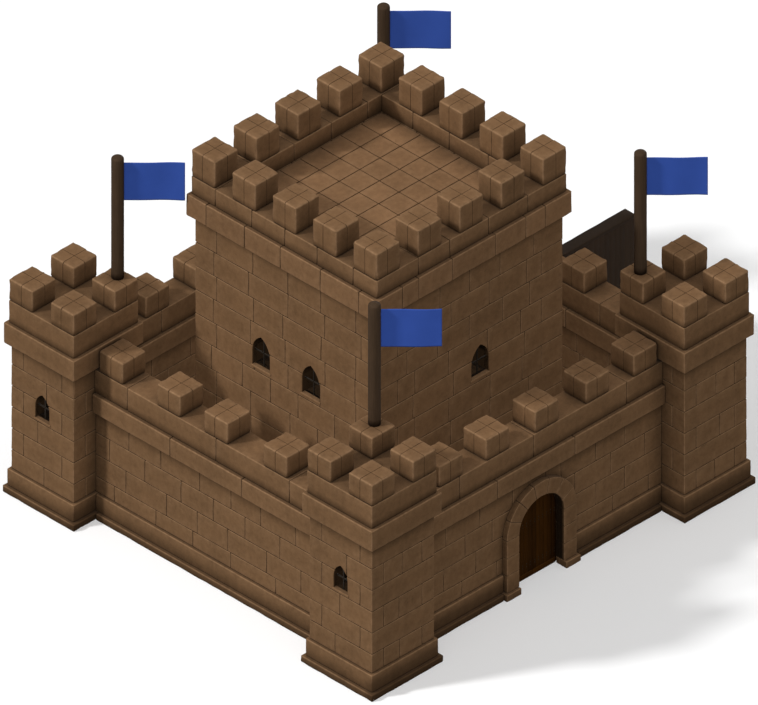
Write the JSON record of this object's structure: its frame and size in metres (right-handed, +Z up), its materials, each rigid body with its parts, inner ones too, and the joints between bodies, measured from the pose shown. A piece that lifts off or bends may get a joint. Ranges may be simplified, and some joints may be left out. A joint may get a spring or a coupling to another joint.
{
  "type": "small stone castle with a keep",
  "caption": "Square stone castle: battlemented corner towers with flags, a curtain wall with an arched double-leaf gate, and a taller battlemented keep in the court.",
  "frame": {"origin": "on the ground at the middle of the castle, under the keep", "axes": "+X to the right along the gate front, +Y from the gate to the back, +Z up"},
  "size_m": [21.867, 18.254, 14.44],
  "materials": {
    "wall_stone": "coursed brown ashlar with worn arrises and dark mortar joints",
    "deck_stone": "brown stone paving with worn joints",
    "floor_stone": "plain stone flags",
    "gate_timber": "dark weathered oak planks",
    "pole_timber": "dark round timber, weathered",
    "wing_timber": "dark weathered planks",
    "wrought_iron": "black hand-forged iron",
    "flag_cloth": "plain blue woven cloth"
  },
  "bodies": {
    "castle": {"curtain_battlement_back": "wall_stone", "curtain_battlement_front": "wall_stone", "curtain_battlement_left": "wall_stone", "curtain_battlement_right": "wall_stone", "curtain_wall_back": "wall_stone", "curtain_wall_left": "wall_stone", "curtain_wall_right": "wall_stone", "flag_back_left": "flag_cloth", "flag_back_right": "flag_cloth", "flag_front_left": "flag_cloth", "flag_front_right": "flag_cloth", "flagpole_back_left": "pole_timber", "flagpole_back_right": "pole_timber", "flagpole_front_left": "pole_timber", "flagpole_front_right": "pole_timber", "front_wall_left": "wall_stone", "front_wall_over_gate": "wall_stone", "front_wall_right": "wall_stone", "gate_arch": "wall_stone", "gate_pintles_left": "wrought_iron", "gate_pintles_right": "wrought_iron", "keep_parapet_back": "wall_stone", "keep_parapet_front": "wall_stone", "keep_parapet_left": "wall_stone", "keep_parapet_right": "wall_stone", "keep_roof_deck": "deck_stone", "keep_upper_floor": "floor_stone", "keep_wall_back": "wall_stone", "keep_wall_front": "wall_stone", "keep_wall_left": "wall_stone", "keep_wall_right": "wall_stone", "timber_wing_wall": "wing_timber", "tower_battlement_back_left": "wall_stone", "tower_battlement_back_right": "wall_stone", "tower_battlement_front_left": "wall_stone", "tower_battlement_front_right": "wall_stone", "tower_floor_back_left": "floor_stone", "tower_floor_back_right": "floor_stone", "tower_floor_front_left": "floor_stone", "tower_floor_front_right": "floor_stone", "tower_shaft_back_left": "wall_stone", "tower_shaft_back_right": "wall_stone", "tower_shaft_front_left": "wall_stone", "tower_shaft_front_right": "wall_stone"},
    "gate_leaf_left": {"gate_leaf_left": "gate_timber", "gate_straps_left": "wrought_iron"},
    "gate_leaf_right": {"gate_leaf_right": "gate_timber", "gate_straps_right": "wrought_iron"}
  },
  "joints": [
    {"name": "gate_left_swing", "type": "hinge", "parent": "castle", "child": "gate_leaf_left", "pos_m": [-1.13, -7.445, 0.565], "axis": [0, 0, 1], "range_deg": [0, 90]},
    {"name": "gate_right_swing", "type": "hinge", "parent": "castle", "child": "gate_leaf_right", "pos_m": [1.13, -7.445, 0.565], "axis": [0, 0, -1], "range_deg": [0, 90]}
  ]
}
